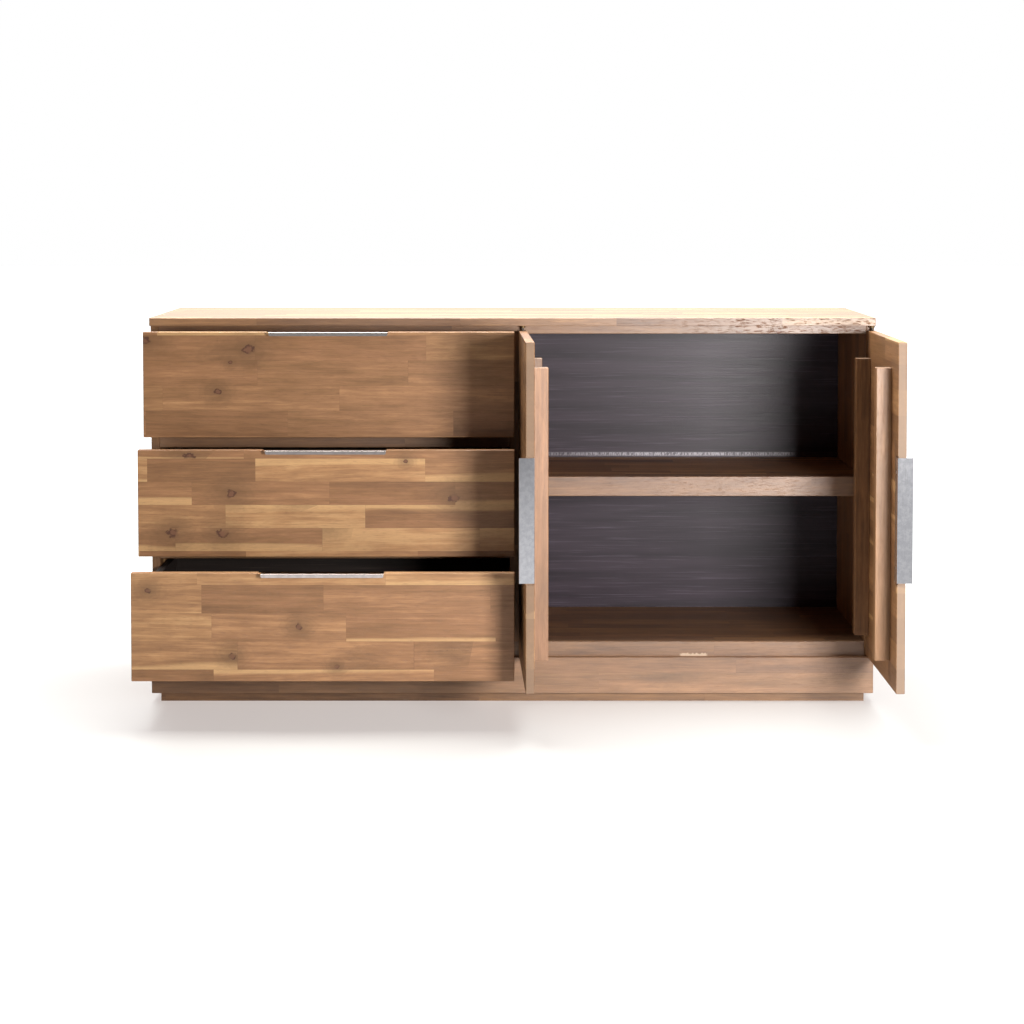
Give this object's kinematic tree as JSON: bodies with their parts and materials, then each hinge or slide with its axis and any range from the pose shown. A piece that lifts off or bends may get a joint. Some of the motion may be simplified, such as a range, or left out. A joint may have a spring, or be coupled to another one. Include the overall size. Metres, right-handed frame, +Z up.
{
  "type": "sideboard",
  "caption": "Long low wooden sideboard: pull-out drawers in the left half, a shelved cupboard behind pivot-hung doors in the right half, with metal edge handles.",
  "frame": {"origin": "on the floor, at the centre of the top panel's footprint, on the underside of the plinth's cross rail", "axes": "+X to the right of someone facing the front, the front faces -Y, +Z up"},
  "size_m": [1.6162, 0.8237, 0.855],
  "materials": {
    "acacia": "satin oiled finger-jointed staves",
    "charcoal_board": "matt charcoal wood-grain",
    "runner_hardwood": "waxed bare hardwood",
    "brushed_aluminium": "brushed",
    "screw_steel": "zinc plated",
    "pivot_brass": "plain turned"
  },
  "bodies": {
    "carcass": {"top_panel": "acacia", "left_side_panel": "acacia", "right_side_panel": "acacia", "front_top_rail": "acacia", "back_top_rail": "acacia", "lower_drawer_rail": "acacia", "upper_drawer_rail": "acacia", "base_front_rail": "acacia", "base_panel": "acacia", "centre_partition": "acacia", "shelf_board": "acacia", "shelf_front_lipping": "acacia", "shelf_cleats": "acacia", "plinth_front": "acacia", "plinth_back": "acacia", "plinth_left": "acacia", "plinth_right": "acacia", "plinth_cross_rail": "acacia", "skirt_front": "acacia", "back_panel": "charcoal_board", "left_runners": "runner_hardwood", "right_runners": "runner_hardwood", "pivot_bushes": "pivot_brass"},
    "drawer_upper": {"upper_drawer_front": "acacia", "upper_drawer_left": "charcoal_board", "upper_drawer_right": "charcoal_board", "upper_drawer_inner_front": "charcoal_board", "upper_drawer_back": "charcoal_board", "upper_drawer_bottom": "charcoal_board", "upper_drawer_handle": "brushed_aluminium", "upper_drawer_screws": "screw_steel"},
    "drawer_middle": {"middle_drawer_front": "acacia", "middle_drawer_left": "charcoal_board", "middle_drawer_right": "charcoal_board", "middle_drawer_inner_front": "charcoal_board", "middle_drawer_back": "charcoal_board", "middle_drawer_bottom": "charcoal_board", "middle_drawer_handle": "brushed_aluminium", "middle_drawer_screws": "screw_steel"},
    "drawer_lower": {"lower_drawer_front": "acacia", "lower_drawer_left": "charcoal_board", "lower_drawer_right": "charcoal_board", "lower_drawer_inner_front": "charcoal_board", "lower_drawer_back": "charcoal_board", "lower_drawer_bottom": "charcoal_board", "lower_drawer_handle": "brushed_aluminium", "lower_drawer_screws": "screw_steel"},
    "door_left": {"left_door_panel": "acacia", "left_door_hinge_batten": "acacia", "left_door_handle_batten": "acacia", "left_door_handle": "brushed_aluminium", "left_door_screws": "screw_steel", "left_door_pivot_pins": "screw_steel"},
    "door_right": {"right_door_panel": "acacia", "right_door_hinge_batten": "acacia", "right_door_handle_batten": "acacia", "right_door_handle": "brushed_aluminium", "right_door_screws": "screw_steel", "right_door_pivot_pins": "screw_steel"}
  },
  "joints": [
    {"name": "drawer_upper_slide", "type": "slide", "parent": "carcass", "child": "drawer_upper", "axis": [0, -1, 0], "range_m": [-0.083, 0.217]},
    {"name": "drawer_middle_slide", "type": "slide", "parent": "carcass", "child": "drawer_middle", "axis": [0, -1, 0], "range_m": [-0.16, 0.14]},
    {"name": "drawer_lower_slide", "type": "slide", "parent": "carcass", "child": "drawer_lower", "axis": [0, -1, 0], "range_m": [-0.255, 0.045]},
    {"name": "door_left_hinge", "type": "hinge", "parent": "carcass", "child": "door_left", "pos_m": [0.02279, -0.216, 0.101], "axis": [0, 0, -1], "range_deg": [-88, 2]},
    {"name": "door_right_hinge", "type": "hinge", "parent": "carcass", "child": "door_right", "pos_m": [0.79321, -0.216, 0.101], "axis": [0, 0, 1], "range_deg": [-90, 90]}
  ]
}
